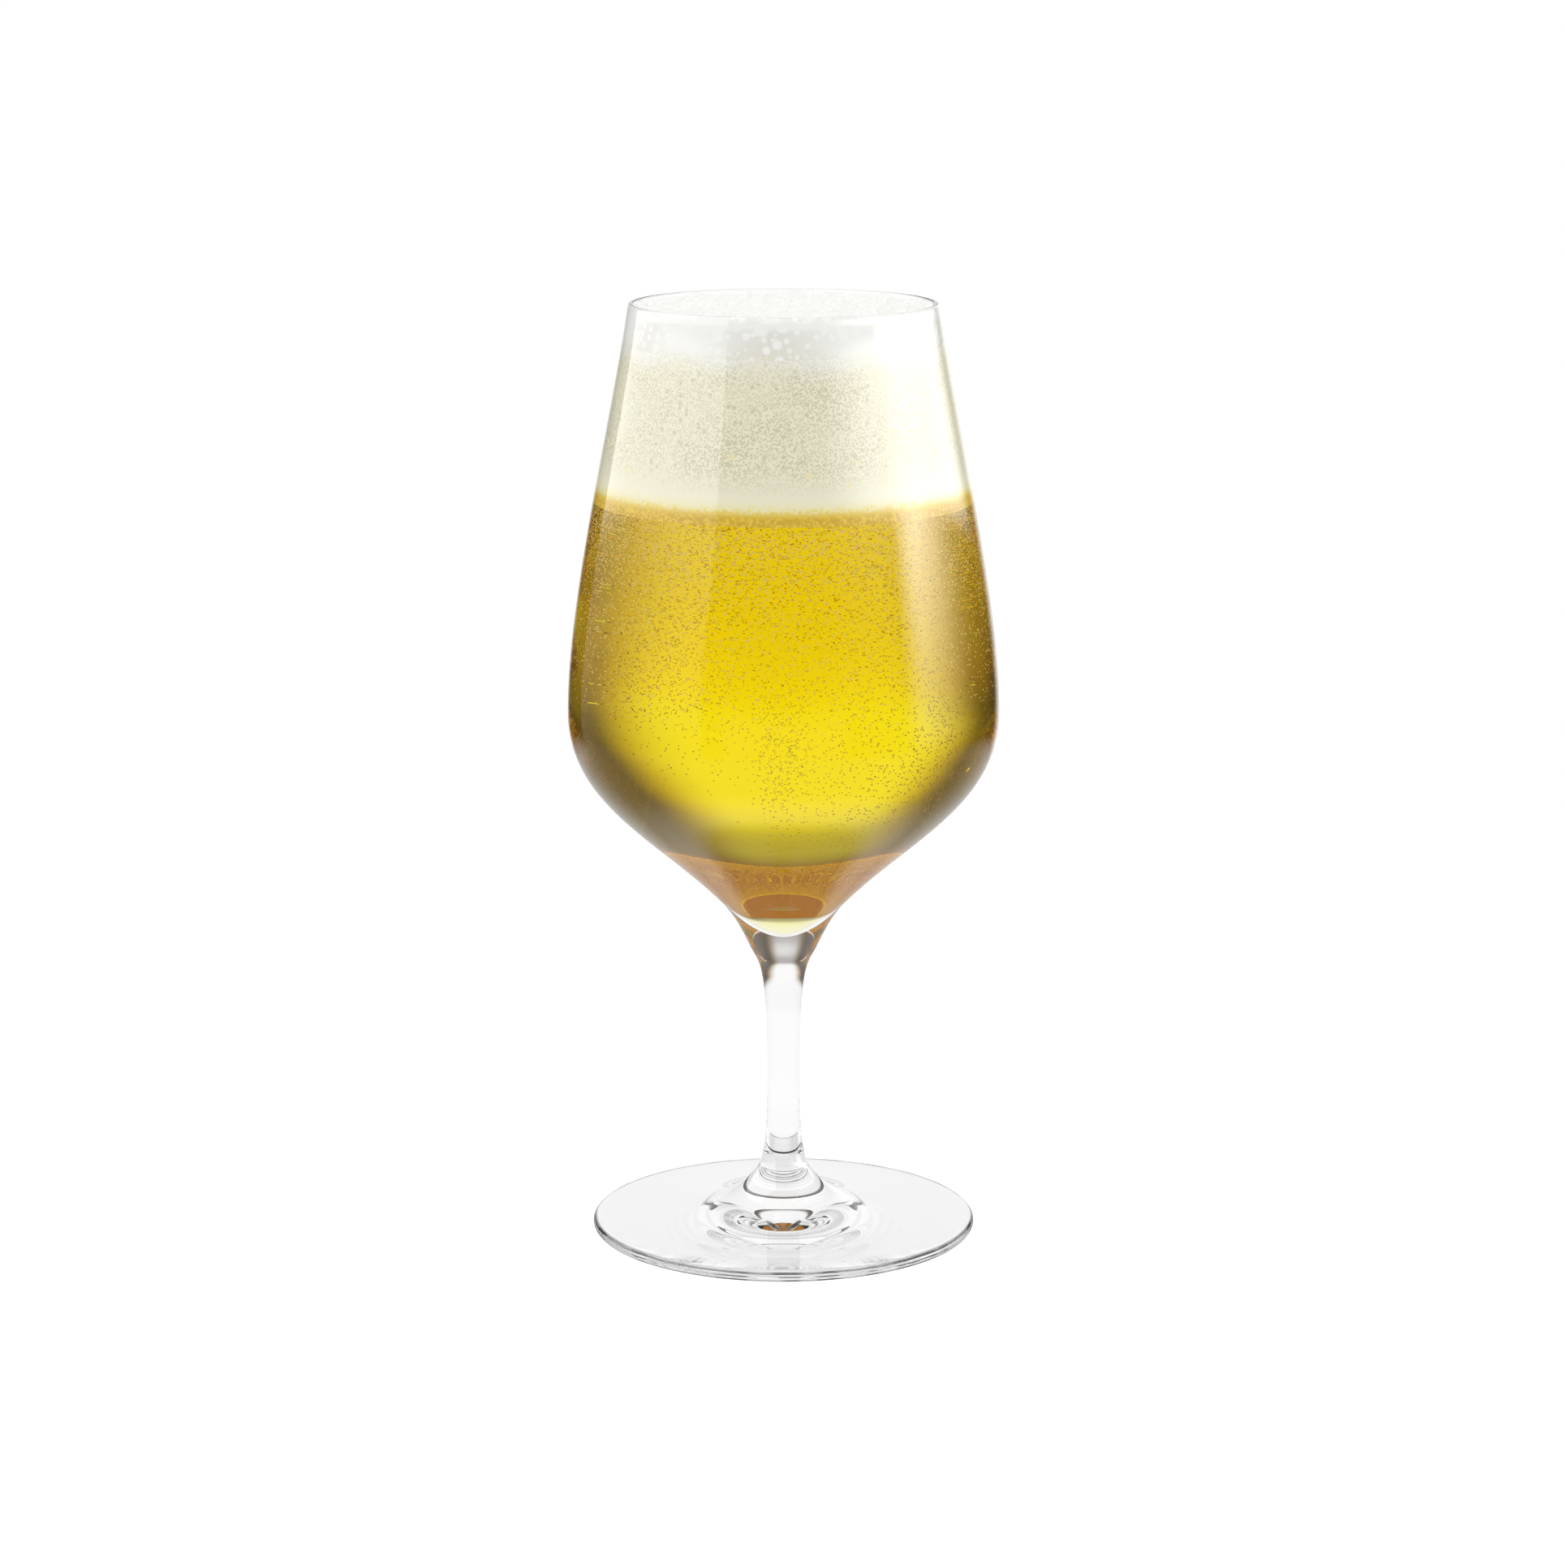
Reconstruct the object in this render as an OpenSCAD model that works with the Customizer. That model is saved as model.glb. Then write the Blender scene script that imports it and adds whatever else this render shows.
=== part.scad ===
// Stemmed tulip beer glass with its drink: a blown bowl, a drawn stem and a pressed foot, fused
// end to end, holding beer under a head of dense foam and coarse froth. Millimetres, +Z up.
// The origin is the middle of the circle that the foot stands on.

/* [Bowl] */
// Height of the whole glass, from the table to the rim
glass_h = 185; // [165:1:205]
// Outside diameter at the rim
rim_d = 60.2; // [48:0.2:72]
// Lean of the wall at the rim, in degrees from upright
rim_lean = 8; // [4:1:14]
// Outside diameter at the belly, where the bowl is widest
belly_d = 84.7; // [74:0.1:96]
// Height of the belly above the table
belly_z = 105; // [96:1:120]
// Outside diameter on the cone under the belly, where its curve turns from hollow to full
cone_d = 25; // [20:0.5:32]
// Height of that turn above the seam with the stem
cone_rise = 10.9; // [8:0.1:16]
// Lean of the cone at that turn, in degrees from upright
cone_lean = 44; // [38:1:50]
// Glass wall at the rim
rim_wall = 1.3; // [0.8:0.1:2]
// Glass wall at the belly
belly_wall = 1.2; // [1:0.1:2]
// Glass wall on the cone, at the turn of its curve
cone_wall = 4.1; // [3:0.1:5]
// Height above the table at which the wall has thinned to that of the belly
thin_z = 88; // [82:1:95]
// Solid glass between the seam and the bottom of the drink
base_t = 5.6; // [5:0.1:8]
// How far the bottom of the drink is dished
bottom_dish = 7; // [4:0.5:8]

/* [Stem] */
// Height of the seam between the stem and the bowl
bowl_seam_z = 56; // [48:1:64]
// Diameter of the stem at the bowl's seam
bowl_seam_d = 11.7; // [9.5:0.1:14]
// Lean of the flare at the bowl's seam, in degrees from upright
bowl_seam_lean = 33; // [24:1:40]
// Diameter of the stem at its waist
waist_d = 6.5; // [5:0.1:9]
// Height of the waist above the table
waist_z = 29; // [22:1:38]

/* [Foot] */
// Diameter of the foot
foot_d = 76.4; // [64:0.2:90]
// Thickness of the foot's rounded edge
foot_edge_t = 2.2; // [1.4:0.1:3.5]
// Slope of the foot's top next to its edge, in degrees
foot_slope = 4.5; // [2:0.5:8]
// Height of the seam between the foot and the stem
foot_seam_z = 12; // [9:0.5:16]
// Diameter of the stem at the foot's seam
foot_seam_d = 10.4; // [8.5:0.1:13]
// Lean of the flare at the foot's seam, in degrees from upright
foot_seam_lean = 34; // [24:1:44]
// Width of the flat ring that the foot stands on
rest_ring_w = 4; // [2:0.5:8]
// Height of the hollow under the middle of the foot
foot_hollow = 1; // [0.4:0.1:1.8]

/* [Drink] */
// Height of the dense foam, from the beer to the froth
foam_h = 30.5; // [12:0.5:45]
// Height of the coarse froth at the wall, on top of the foam
froth_h = 6; // [3:0.5:10]
// Glass left bare above the froth's edge
bare_rim = 2; // [1:0.5:8]
// How far the froth swells up in the middle
crown_h = 1.1; // [0.5:0.1:4]
// Mean radius of the bubbles that stand out of the crown
bubble_r = 4.5; // [3.5:0.1:5.5]
// How far those bubbles stand out of the crown
bubble_rise = 0.8; // [0.4:0.1:1.4]
// Clearance between the drink and the glass
film_gap = 0.1; // [0.05:0.05:0.3]

/* [Hidden] */
$fn = 96;

// Straight steps in each curved stretch, in the edge rounds and in the crown
curve_steps = 14;
round_steps = 8;
crown_steps = 6;
// Rings of bubbles on the crown, counted from the middle, and how many each ring holds
bubble_rings = [1, 6, 12, 17];
// Turn from one ring to the next and from one bubble's size to the next, in degrees
golden_turn = 137.5;
// How much the bubbles differ from their mean radius
bubble_vary_share = 0.2;
// How far a cut runs past what it cuts
overrun = 1;

// Lengths of the curve handles, as shares of the height of their own stretch
waist_from_foot_shares = [0.16, 0.4];
waist_to_bowl_shares = [0.72, 0.12];
seam_to_cone_shares = [0.2, 0.5];
cone_to_belly_shares = [0.5, 0.45];
belly_to_rim_shares = [0.28, 0.25];
// The foot's top has one handle along its width and one along its height
foot_width_share = 0.75;
foot_height_share = 0.78;
// The dish under the drink is a cone whose tip is rounded over this share of its width
dish_tip_share = 0.6;

// Direction of a wall that leans out (positive) or in (negative) as it goes up
function leaning(angle) = [sin(angle), cos(angle)];

// One point and a whole stretch of a cubic curve through four control points
function cubic(p, t) =
    let (s = 1 - t)
    s * s * s * p[0] + 3 * s * s * t * p[1] + 3 * s * t * t * p[2] + t * t * t * p[3];
function stretch(p) = [for (i = [0 : curve_steps]) cubic(p, i / curve_steps)];

// A stretch from one place to a higher one, with the lean at each end and its handle shares
function rising(from, from_lean, to, to_lean, shares) =
    let (h = to[1] - from[1])
    stretch([
        from,
        from + shares[0] * h * leaning(from_lean),
        to - shares[1] * h * leaning(to_lean),
        to
    ]);

// A list without its first point, for joining a stretch to the one before it
function after_first(points) = [for (i = [1 : len(points) - 1]) points[i]];

// An arc about a centre, from one angle to another
function arc(centre, r, from, to) =
    [for (i = [0 : round_steps])
        let (a = from + (to - from) * i / round_steps)
        centre + r * [cos(a), sin(a)]];

// Places on the outline
foot_seam = [foot_seam_d / 2, foot_seam_z];
waist = [waist_d / 2, waist_z];
bowl_seam = [bowl_seam_d / 2, bowl_seam_z];
cone = [cone_d / 2, bowl_seam_z + cone_rise];
belly = [belly_d / 2, belly_z];
rim_centre = [rim_d / 2 - rim_wall / 2, glass_h - rim_wall / 2];
rim = rim_centre + rim_wall / 2 * [cos(rim_lean), sin(rim_lean)];

// Outside of the bowl, from the seam up to the rim
bowl_outside = concat(
    rising(bowl_seam, bowl_seam_lean, cone, cone_lean, seam_to_cone_shares),
    after_first(rising(cone, cone_lean, belly, 0, cone_to_belly_shares)),
    after_first(rising(belly, 0, rim, -rim_lean, belly_to_rim_shares))
);

// Inside of the bowl: the outside moved in, square to itself, by the wall at that height, which
// grows with the square of the depth below the place where it is thin
function wall_at(z) =
    let (below = max(thin_z - z, 0) / (thin_z - cone[1]))
    lookup(z, [[thin_z, belly_wall], [rim[1], rim_wall]]) + (cone_wall - belly_wall) * below * below;
function inward(points, i) =
    let (
        last = len(points) - 1,
        along = points[min(i + 1, last)] - points[max(i - 1, 0)]
    )
    [-along[1], along[0]] / norm(along);
function bowl_inside(gap) =
    [for (i = [0 : len(bowl_outside) - 1])
        let (p = bowl_outside[i])
        if (p[1] > bottom_z) p + (wall_at(p[1]) + gap) * inward(bowl_outside, i)];

// Radius of the inside at a height, and the points of the inside between two heights
function inside_r(z, gap) = lookup(z, [for (p = bowl_inside(gap)) [p[1], p[0]]]);
function inside_span(low, high, gap) = concat(
    [[inside_r(low, gap), low]],
    [for (p = bowl_inside(gap)) if (p[1] > low && p[1] < high) p],
    [[inside_r(high, gap), high]]
);

// Levels of the drink
bottom_z = bowl_seam_z + base_t;
froth_edge_z = glass_h - bare_rim;
froth_z = froth_edge_z - froth_h;
beer_z = froth_z - foam_h;
crown_r = inside_r(froth_edge_z, film_gap);

// Dished bottom of the drink, from the middle to its corner with the cone
function bottom_curve(gap) =
    let (
        low = bottom_z + gap,
        corner_r = inside_r(low + bottom_dish, gap),
        tip = dish_tip_share
    )
    [for (i = [0 : round_steps - 1])
        let (
            t = i / round_steps,
            rise = (norm([t, tip]) - tip) / (norm([1, tip]) - tip)
        )
        [corner_r * t, low + bottom_dish * rise]];
function drink_wall(gap, top) =
    concat(bottom_curve(gap), inside_span(bottom_z + gap + bottom_dish, top, gap));

// Height of the froth's crown at a distance from the middle
function crown_z(r) = froth_edge_z + crown_h * (1 - pow(r / crown_r, 2));

module foot() {
    edge_r = foot_edge_t / 2;
    edge_centre = [foot_d / 2 - edge_r, edge_r];
    edge_top = edge_centre + edge_r * [sin(foot_slope), cos(foot_slope)];
    ring_r = edge_centre[0] - rest_ring_w;
    hollow = [for (i = [0 : round_steps])
        let (t = i / round_steps)
        [ring_r * t, foot_hollow * (1 - t * t)]];
    top = stretch([
        edge_top,
        edge_top + foot_width_share * (edge_top[0] - foot_seam[0]) * [-cos(foot_slope), sin(foot_slope)],
        foot_seam - foot_height_share * (foot_seam[1] - edge_top[1]) * leaning(-foot_seam_lean),
        foot_seam
    ]);
    color([0.86, 0.9, 0.9, 0.5])
        rotate_extrude()
            polygon(concat(
                hollow,
                arc(edge_centre, edge_r, -90, 90 - foot_slope),
                after_first(top),
                [[0, foot_seam_z]]
            ));
}

module stem() {
    outside = concat(
        rising(foot_seam, -foot_seam_lean, waist, 0, waist_from_foot_shares),
        after_first(rising(waist, 0, bowl_seam, bowl_seam_lean, waist_to_bowl_shares))
    );
    color([0.9, 0.94, 0.94, 0.5])
        rotate_extrude()
            polygon(concat([[0, foot_seam_z]], outside, [[0, bowl_seam_z]]));
}

module bowl() {
    inside = drink_wall(0, rim[1] - rim_wall * sin(rim_lean));
    rim_round = arc(rim_centre, rim_wall / 2, rim_lean, rim_lean + 180);
    color([0.92, 0.96, 0.96, 0.35])
        rotate_extrude()
            polygon(concat(
                [[0, bowl_seam_z]],
                bowl_outside,
                after_first(rim_round),
                [for (i = [len(inside) - 2 : -1 : 0]) inside[i]]
            ));
}

module beer() {
    color([0.95, 0.74, 0.05, 0.85])
        rotate_extrude()
            polygon(concat(drink_wall(film_gap, beer_z), [[0, beer_z]]));
}

module foam_head() {
    color([0.95, 0.92, 0.82])
        rotate_extrude()
            polygon(concat(
                [[0, beer_z]],
                inside_span(beer_z, froth_z, film_gap),
                [[0, froth_z]]
            ));
}

// Bubbles of several sizes stand in rings on the crown, each sunk in it but for its cap
module crown_bubbles() {
    largest_r = bubble_r * (1 + bubble_vary_share);
    ring_step = (crown_r - largest_r) / (len(bubble_rings) - 1);
    for (ring = [0 : len(bubble_rings) - 1])
        for (i = [0 : bubble_rings[ring] - 1]) {
            from_middle = ring * ring_step;
            r = bubble_r * (1 + bubble_vary_share * sin((ring + i) * golden_turn));
            rotate([0, 0, ring * golden_turn + i * 360 / bubble_rings[ring]])
                translate([from_middle, 0, crown_z(from_middle) + bubble_rise - r])
                    sphere(r = r);
        }
}

module froth() {
    crown = [for (i = [crown_steps - 1 : -1 : 0])
        let (r = crown_r * i / crown_steps)
        [r, crown_z(r)]];
    below = 2 * bubble_r * (1 + bubble_vary_share);
    color([0.99, 0.98, 0.95])
        difference() {
            union() {
                rotate_extrude()
                    polygon(concat(
                        [[0, froth_z]],
                        inside_span(froth_z, froth_edge_z, film_gap),
                        crown
                    ));
                crown_bubbles();
            }
            translate([0, 0, froth_z - below])
                cylinder(r = crown_r + froth_h + overrun, h = below);
        }
}

foot();
stem();
bowl();
beer();
foam_head();
froth();
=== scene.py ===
# %% [markdown]
# # A tulip beer glass, poured
# This lesson dresses a stemmed beer glass: clear glass, pale beer with gas in it, a dense head of
# foam and coarse froth at the rim. The solids of the part give the places and the sizes, and each
# cell below makes one piece or one finish around them. All lengths are metres.

# %% The frame that everything is built around
import itertools
import math

import bpy
import numpy as np
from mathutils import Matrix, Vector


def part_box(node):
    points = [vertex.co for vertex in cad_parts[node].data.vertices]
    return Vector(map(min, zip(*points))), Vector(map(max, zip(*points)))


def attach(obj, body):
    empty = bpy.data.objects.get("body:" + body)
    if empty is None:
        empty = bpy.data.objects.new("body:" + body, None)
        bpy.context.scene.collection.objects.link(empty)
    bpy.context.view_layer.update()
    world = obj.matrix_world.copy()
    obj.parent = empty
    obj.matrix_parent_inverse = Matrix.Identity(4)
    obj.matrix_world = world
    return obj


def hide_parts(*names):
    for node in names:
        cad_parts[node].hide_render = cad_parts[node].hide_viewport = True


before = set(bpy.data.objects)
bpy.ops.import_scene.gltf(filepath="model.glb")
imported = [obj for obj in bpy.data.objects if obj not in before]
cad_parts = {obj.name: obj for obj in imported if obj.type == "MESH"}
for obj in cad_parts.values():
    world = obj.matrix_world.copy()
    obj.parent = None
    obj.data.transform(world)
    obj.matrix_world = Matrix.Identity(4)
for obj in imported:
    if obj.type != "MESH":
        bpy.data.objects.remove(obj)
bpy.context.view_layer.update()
MM = 0.001

# %% [markdown]
# ## The camera
# A photograph of a round glass tells where its camera stood: the rim and the foot are circles, so
# the roundness of their two ellipses gives the height of the lens and its distance. The picture
# here was taken from 0.82 m away and a little above the rim, looking down by twelve degrees.

# %% Camera at the photograph's place
CAMERA_BACK = 816.9 * MM
CAMERA_UP = 263.3 * MM
CAMERA_DOWN = math.radians(11.96)
FOCAL_PX = 5221.2
FRAME_PX = 1932
SENSOR_MM = 36

lens = bpy.data.cameras.new("photo_camera")
lens.sensor_width = SENSOR_MM
lens.lens = FOCAL_PX * SENSOR_MM / FRAME_PX
camera = bpy.data.objects.new("photo_camera", lens)
camera.location = (0, -CAMERA_BACK, CAMERA_UP)
camera.rotation_euler = (math.pi / 2 - CAMERA_DOWN, 0, 0)
scene = bpy.context.scene
scene.collection.objects.link(camera)
scene.camera = camera
print("lens of", round(lens.lens, 1), "mm")

# %% [markdown]
# ## Sizes
# Most sizes are read from the boxes of the solids, so that the looks can't drift from the part.
# What a box can't tell, such as the height of the belly or the wall of the glass, is written here
# once, in the same words as on the part's own drawing.

# %% Sizes read from the solids
foot_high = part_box("foot")[1]
stem_low, stem_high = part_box("stem")
bowl_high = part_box("bowl")[1]
beer_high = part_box("beer")[1]
foam_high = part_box("foam_head")[1]

FOOT_SEAM_Z, BOWL_SEAM_Z = stem_low[2], stem_high[2]
GLASS_H = bowl_high[2]
BEER_Z, FROTH_Z = beer_high[2], foam_high[2]
FOOT_R = foot_high[0]
BELLY_R = bowl_high[0]
BOWL_SEAM_R = stem_high[0]
print("beer to", round(BEER_Z / MM, 1), "mm, foam to", round(FROTH_Z / MM, 1), "mm")

# %% Sizes from the drawing
FOOT_SEAM_R = 5.2 * MM
WAIST_R, WAIST_Z = 3.25 * MM, 29 * MM
CONE_R, CONE_Z = 12.5 * MM, BOWL_SEAM_Z + 10.9 * MM
BELLY_Z = 105 * MM
RIM_R = 30.1 * MM
FOOT_EDGE, FOOT_HOLLOW, REST_RING = 2.2 * MM, 1 * MM, 4 * MM
FOOT_SLOPE, FOOT_LEAN, SEAM_LEAN, CONE_LEAN, RIM_LEAN = np.radians([4.5, 34, 33, 44, 8])
RIM_WALL, BELLY_WALL, CONE_WALL = 1.3 * MM, 1.2 * MM, 4.1 * MM
THIN_Z = 88 * MM
BASE_T, BOTTOM_DISH, TIP_SHARE = 5.6 * MM, 7 * MM, 0.6
FROTH_EDGE_Z, CROWN_RISE = GLASS_H - 1.3 * MM, 0.7 * MM
FILM = 0.04 * MM
WAIST_FROM_FOOT, WAIST_TO_BOWL, SEAM_TO_CONE = (0.16, 0.4), (0.72, 0.12), (0.2, 0.5)
CONE_TO_BELLY, BELLY_TO_RIM = (0.5, 0.45), (0.28, 0.25)
FOOT_WIDTH_SHARE, FOOT_HEIGHT_SHARE = 0.75, 0.78
print("wall at the rim:", round(RIM_WALL / MM, 1), "mm, on the cone:", round(CONE_WALL / MM, 1), "mm")

# %% [markdown]
# ## Turned surfaces
# Every solid piece of the glass is a body of revolution, so one function serves them all. It takes
# a profile that starts and ends on the axis and carries it round. A lathe or a Screw modifier
# would do the same, but with arrays the seams and the two poles are closed by construction.

# %% Curves for profiles
CURVE_STEPS = 40
ROUND_STEPS = 16


def cubic(points, steps):
    """A cubic curve: the four control points weighted by the terms of (s + t) to the power of 3."""
    t = np.linspace(0, 1, steps + 1)[:, None]
    s = 1 - t
    a, b, c, d = np.asarray(points, float)
    return s**3 * a + 3 * s * s * t * b + 3 * s * t * t * c + t**3 * d


def leaning(angle):
    """The direction of a wall that leans out, or in if the angle is negative, as it goes up."""
    return np.array([math.sin(angle), math.cos(angle)])


def rising(start, start_lean, end, end_lean, shares):
    """A curve from one (r, z) to a higher one, with handles that are shares of the rise."""
    start, end = np.asarray(start, float), np.asarray(end, float)
    rise = end[1] - start[1]
    leave = start + shares[0] * rise * leaning(start_lean)
    arrive = end - shares[1] * rise * leaning(end_lean)
    return cubic([start, leave, arrive, end], CURVE_STEPS)


def arc(centre, radius, start, end):
    """Points at a radius from a centre, from one angle to another."""
    a = np.linspace(start, end, ROUND_STEPS + 1)
    return np.asarray(centre) + radius * np.stack([np.cos(a), np.sin(a)], 1)


print("a curve has", CURVE_STEPS, "steps")

# %% Profiles carried round the axis
TURNS = 288


def ring_points(rings, turns):
    """Points (r cos a, r sin a, z) for each (r, z) and for even angles a."""
    a = np.arange(turns) * 2 * np.pi / turns
    r, z = rings[:, :1], rings[:, 1:]
    return np.stack([r * np.cos(a), r * np.sin(a), np.repeat(z, turns, 1)], 2).reshape(-1, 3)


def ring_faces(rows, turns):
    """Quads between neighbouring rings, and triangles from the two end rings to their poles.

    The poles are the two points that follow the rings."""
    i = np.arange(rows - 1)[:, None] * turns
    j = np.arange(turns)[None]
    k = (j + 1) % turns
    quads = np.stack([i + j, i + k, i + turns + k, i + turns + j], 2).reshape(-1, 4)
    j, k = j[0], k[0]
    last, low, high = (rows - 1) * turns, rows * turns, rows * turns + 1
    first_cap = np.stack([np.full(turns, low), k, j], 1)
    last_cap = np.stack([np.full(turns, high), last + j, last + k], 1)
    return quads, np.vstack([first_cap, last_cap])


def turned(profile):
    """A profile carried round the axis, whose first and last points are the poles.

    Returns the points, the quads, the triangles and the ring that each face starts at."""
    profile = np.asarray(profile, float)
    rings = profile[1:-1]
    poles = [[0, 0, profile[0, 1]], [0, 0, profile[-1, 1]]]
    points = np.vstack([ring_points(rings, TURNS), poles])
    quads, caps = ring_faces(len(rings), TURNS)
    between = np.repeat(np.arange(1, len(rings)), TURNS)
    ring_of = np.concatenate([between, np.zeros(TURNS, int), np.full(TURNS, len(rings))])
    return points, quads, caps, ring_of


print("a ring has", TURNS, "points")

# %% Mesh pieces
SHARP = math.radians(40)


def mesh_piece(name, points, quads, tris, materials, slots=None, sharp=None):
    """A mesh object from arrays of points, quads and triangles, on the root body."""
    mesh = bpy.data.meshes.new(name)
    loops = np.concatenate([quads.ravel(), tris.ravel()]).astype(np.int32)
    sizes = np.concatenate([np.full(len(quads), 4), np.full(len(tris), 3)])
    starts = np.concatenate([[0], np.cumsum(sizes)[:-1]]).astype(np.int32)
    mesh.vertices.add(len(points))
    mesh.vertices.foreach_set("co", np.asarray(points, np.float32).ravel())
    mesh.loops.add(len(loops))
    mesh.loops.foreach_set("vertex_index", loops)
    mesh.polygons.add(len(sizes))
    mesh.polygons.foreach_set("loop_start", starts)
    mesh.polygons.foreach_set("use_smooth", np.ones(len(sizes), bool))
    for material in materials:
        mesh.materials.append(material)
    if slots is not None:
        mesh.polygons.foreach_set("material_index", np.asarray(slots, np.int32))
    mesh.update(calc_edges=True)
    if sharp is not None:
        mesh.set_sharp_from_angle(angle=sharp)
    piece = bpy.data.objects.new(name, mesh)
    scene.collection.objects.link(piece)
    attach(piece, "root")
    print(name, "has", len(points), "points and", 2 * len(quads) + len(tris), "triangles")
    return piece


print("edges over", round(math.degrees(SHARP)), "degrees stay sharp")

# %% [markdown]
# ## Shader sums
# A node tree is easier to read as a sum than as a web of boxes. The small class below wraps an
# output socket: adding or multiplying two of them puts in a Math node, and one method makes every
# other kind of node.


# %% Sockets with arithmetic
class Socket:
    """An output socket in a node tree. Arithmetic on it adds Math nodes."""

    def __init__(self, tree, link=None):
        self.tree, self.link = tree, link

    def node(self, kind, settings=None, inputs=None, out=0):
        """Adds a node of a type, with its settings set first and then its inputs."""
        node = self.tree.nodes.new("ShaderNode" + kind)
        for key, value in (settings or {}).items():
            if key == "stops":
                ramp = node.color_ramp.elements
                while len(ramp) < len(value):
                    ramp.new(1)
                for stop, (place, colour) in zip(ramp, value):
                    stop.position, stop.color = place, (*colour, 1)
            else:
                setattr(node, key, value)
        for key, value in (inputs or {}).items():
            socket = node.inputs[key]
            if isinstance(value, Socket):
                self.tree.links.new(value.link, socket)
            else:
                socket.default_value = value
        return Socket(self.tree, None if out is None else node.outputs[out])

    def math(self, operation, *values):
        return self.node("Math", {"operation": operation}, dict(enumerate(values)))

    def __add__(self, other):
        return self.math("ADD", self, other)

    __radd__ = __add__

    def __mul__(self, other):
        return self.math("MULTIPLY", self, other)

    __rmul__ = __mul__

    def __sub__(self, other):
        return self.math("SUBTRACT", self, other)

    def __rsub__(self, other):
        return self.math("SUBTRACT", other, self)

    def __truediv__(self, other):
        return self.math("DIVIDE", self, other)

    def __abs__(self):
        return self.math("ABSOLUTE", self)

    def least(self, other):
        return self.math("MINIMUM", self, other)

    def most(self, other):
        return self.math("MAXIMUM", self, other)

    def between(self, low, high):
        """A smooth step: 0 up to low, 1 from high."""
        inputs = {"Value": self, "From Min": low, "From Max": high}
        return self.node("MapRange", {"interpolation_type": "SMOOTHSTEP"}, inputs)

    def mix(self, first, second):
        """The first colour where this value is 0 and the second where it is 1."""
        inputs = {0: self, 6: colour_of(first), 7: colour_of(second)}
        return self.node("Mix", {"data_type": "RGBA"}, inputs, 2)

    def blend(self, first, second):
        """The first shader where this value is 0 and the second where it is 1."""
        return self.node("MixShader", None, {0: self, 1: first, 2: second})

    def noise(self, scale, detail=1.0):
        """A soft noise at this place."""
        return self.node("TexNoise", None, {"Vector": self, "Scale": scale, "Detail": detail})

    def cells(self, scale):
        """How far this place is from the middle of its cell, in a pattern of round cells."""
        return self.node("TexVoronoi", {"feature": "F1"}, {"Vector": self, "Scale": scale}, "Distance")

    def other(self, out):
        """Another output of the same node."""
        return Socket(self.tree, self.link.node.outputs[out])


def colour_of(value):
    """A colour for a socket: a link or a number as it is, three numbers with a full alpha."""
    return (*value, 1) if isinstance(value, tuple) else value


print("socket arithmetic ready")


# %% Materials, started and finished
WHITE_LIGHT = (1, 1, 1, 1)


def new_material(name):
    """An empty material and a start for its sockets."""
    material = bpy.data.materials.new(name)
    material.use_nodes = True
    material.node_tree.nodes.clear()
    return material, Socket(material.node_tree)


def finished(material, surface, volume=None):
    """The material with a surface, and a volume if there is one, linked to its output."""
    parts = {"Surface": surface} if volume is None else {"Surface": surface, "Volume": volume}
    surface.node("OutputMaterial", None, parts, None)
    return material


def straight_for_soft_light(surface):
    """The surface for the eye, and nothing but a clear sheet for shadows and soft bounces."""
    path = surface.node("LightPath", out="Is Diffuse Ray")
    clear = surface.node("BsdfTransparent")
    return path.other("Is Shadow Ray").blend(path.blend(surface, clear), clear)


def own_light(root, strength, colour=WHITE_LIGHT):
    """A surface that is as bright as it is, whatever light falls on it."""
    return root.node("Emission", None, {"Color": colour, "Strength": strength})


print("materials can be started and finished")

# %% [markdown]
# ## Clear glass
# Blown glass is polished by the flame, so its finish is in the light and not in a texture: it
# bends what is behind it and mirrors the lamps. Two things keep it from looking like a computer's
# ideal. The hot glass flowed, which leaves a slow ripple of a few microns, and round the edge of the
# foot fine grey lines are painted into the glass's colour: painted shade that stands in for the dark
# surroundings seen in the rounded edge. Shadow rays and soft bounces go straight through, so the
# drink inside is lit, and no bright specks are left by light that the glass would gather.

# %% Painted dark lines on the edge of the foot
PAINTED_EDGE_LINES = ((1.8 * MM, 0.26 * MM, 0.2), (1.1 * MM, 0.16 * MM, 1.0), (0.35 * MM, 0.28 * MM, 0.3))
EDGE_LINE_IN, EDGE_WANDER, EDGE_PAINTED_SHADE = 1.2 * MM, 0.3 * MM, (0.03, 0.035, 0.035)
EDGE_START = FOOT_R - EDGE_LINE_IN, FOOT_R - 0.8 * EDGE_LINE_IN
BREAK_SCALE, BREAK_RANGE = 160.0, (0.42, 0.55)


def painted_edge_shade_lines(root, place):
    """White, with painted grey lines round the foot's edge, each a band of heights broken by a noise:
    painted shade for the dark surroundings seen in the rounded edge.
    """
    x = root.node("SeparateXYZ", None, {0: place}, "X")
    y, z = x.other("Y"), x.other("Z")
    away = root.math("SQRT", x * x + y * y)
    breaks = place.noise(BREAK_SCALE)
    lines = 0
    for height, half, broken in PAINTED_EDGE_LINES:
        line = 1 - abs(z - height + (breaks - 0.5) * EDGE_WANDER).between(0.5 * half, half)
        lines = (line * (1 - broken * breaks.between(*BREAK_RANGE))).most(lines)
    return (lines * away.between(*EDGE_START)).mix((1, 1, 1), EDGE_PAINTED_SHADE)


print("lines on the foot's edge:", len(PAINTED_EDGE_LINES))

# %% Glass finishes
GLASS_IOR, BEER_IOR = 1.5, 1.333
RIPPLE, FOOT_RIPPLE, NO_RIPPLE = 0.02, 0.06, 0.0
FLOW_SCALE, FLOW_DEPTH = 70.0, 0.2 * MM
# The grey below paints shade on a foot or stem seen in the mirror of the bowl.
PAINTED_MIRROR_SHADE = (0.2, 0.2, 0.2, 1)


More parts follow.
